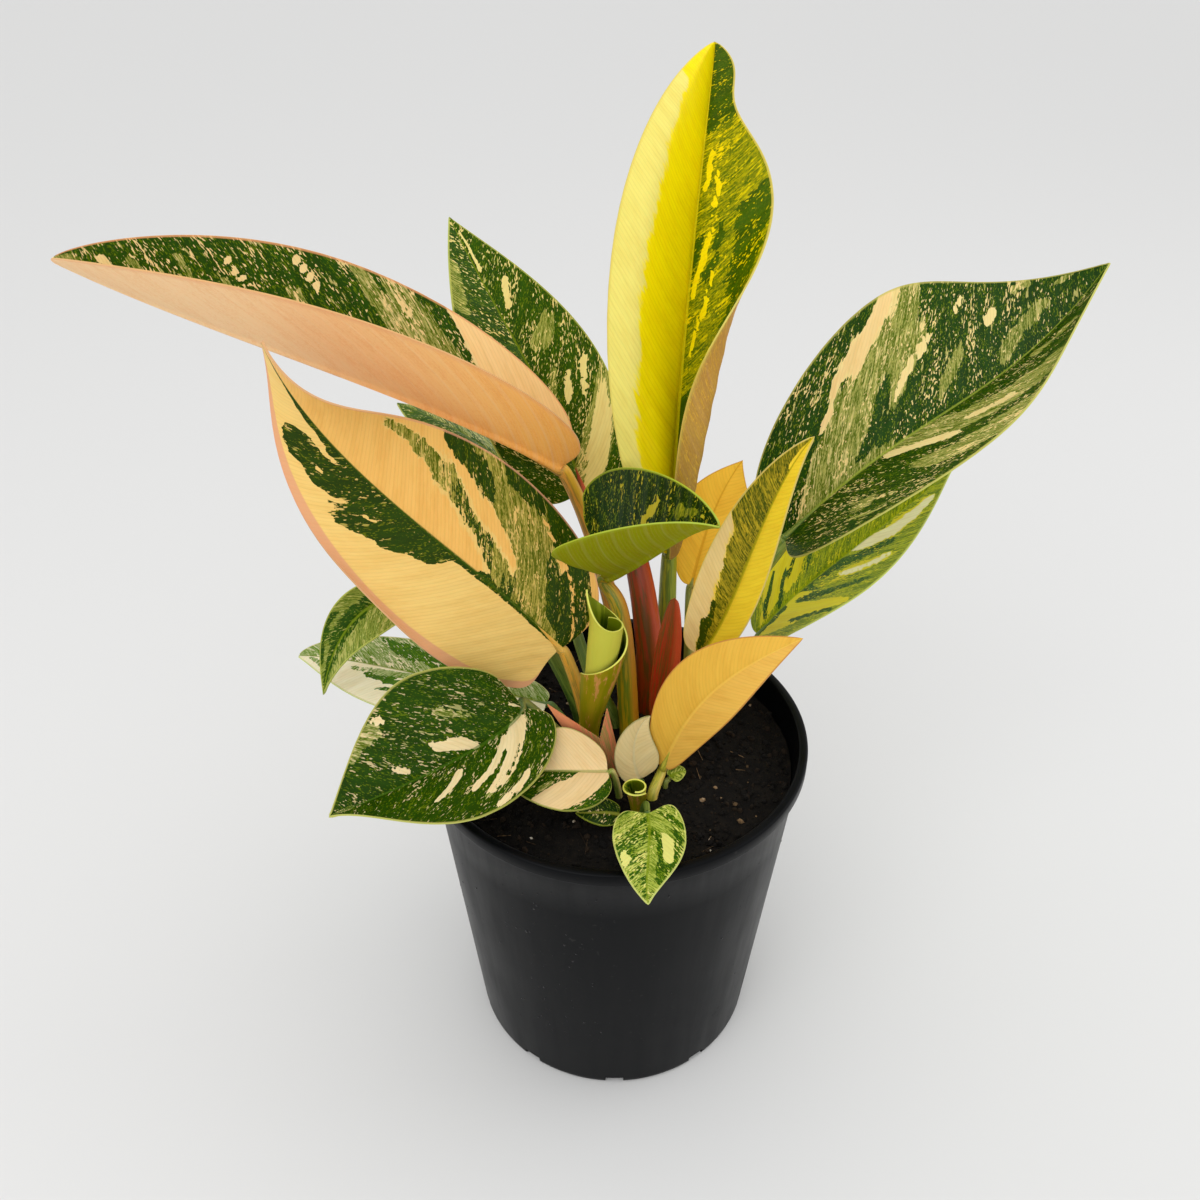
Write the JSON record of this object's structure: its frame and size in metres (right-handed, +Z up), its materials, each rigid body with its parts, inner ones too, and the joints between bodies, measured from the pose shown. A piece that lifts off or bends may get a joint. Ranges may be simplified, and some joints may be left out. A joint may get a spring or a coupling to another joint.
{
  "type": "potted philodendron",
  "caption": "Young variegated philodendron with marbled green, cream, yellow and orange leaves on stalks, rolled new leaves and soil in a round black nursery pot.",
  "frame": {"origin": "centre of the pot's flat bottom", "axes": "+Z up, -Y towards the plant's front as the picture shows it, +X to the right"},
  "size_m": [0.3459, 0.1634, 0.356],
  "materials": {
    "pot_plastic": "moulded black plastic with a soft sheen",
    "potting_mix": "loose, dark and dull",
    "leaf_green": "satin, dark green marbled with cream",
    "leaf_yellow": "satin, yellow and green",
    "leaf_yellow_green": "satin, yellow-green",
    "leaf_cream": "satin, cream with green bands",
    "leaf_orange": "satin, plain orange-yellow",
    "leaf_pale": "satin, pale cream",
    "stalk_green": "satin, green",
    "stalk_olive": "satin, olive-yellow",
    "stalk_orange": "satin, orange-yellow",
    "stalk_red": "satin, red-brown",
    "sheath_pink": "satin, pink-red",
    "sheath_red": "satin, red"
  },
  "bodies": {
    "root": {"pot": "pot_plastic", "soil": "potting_mix", "leaf_tall": "leaf_yellow", "leaf_left_long": "leaf_green", "leaf_left_cream": "leaf_cream", "leaf_back": "leaf_green", "leaf_back_left": "leaf_green", "leaf_centre": "leaf_green", "leaf_right_big": "leaf_green", "leaf_right_low": "leaf_yellow_green", "leaf_right_narrow": "leaf_yellow", "leaf_right_orange": "leaf_orange", "leaf_left_hooked": "leaf_green", "leaf_left_low": "leaf_cream", "leaf_left_front": "leaf_green", "leaf_front_cream": "leaf_cream", "leaf_front_orange": "leaf_orange", "leaf_front_pale": "leaf_pale", "leaf_front_heart": "leaf_green", "leaf_front_small": "leaf_green", "leaf_bud": "leaf_yellow_green", "rolled_leaf_tall": "leaf_yellow_green", "rolled_leaf_small": "leaf_yellow_green", "sheath_pink": "sheath_pink", "sheath_red": "sheath_red", "stalk_tall": "stalk_green", "stalk_left_long": "stalk_orange", "stalk_left_cream": "stalk_orange", "stalk_back": "stalk_red", "stalk_back_left": "stalk_green", "stalk_centre": "stalk_olive", "stalk_right_big": "stalk_green", "stalk_right_low": "stalk_green", "stalk_right_narrow": "stalk_olive", "stalk_right_orange": "stalk_olive", "stalk_left_hooked": "stalk_green", "stalk_left_low": "stalk_green", "stalk_left_front": "stalk_green", "stalk_front_cream": "stalk_olive", "stalk_front_orange": "stalk_olive", "stalk_front_pale": "stalk_green", "stalk_front_heart": "stalk_green", "stalk_front_small": "stalk_green", "stalk_bud": "stalk_green"}
  },
  "joints": []
}
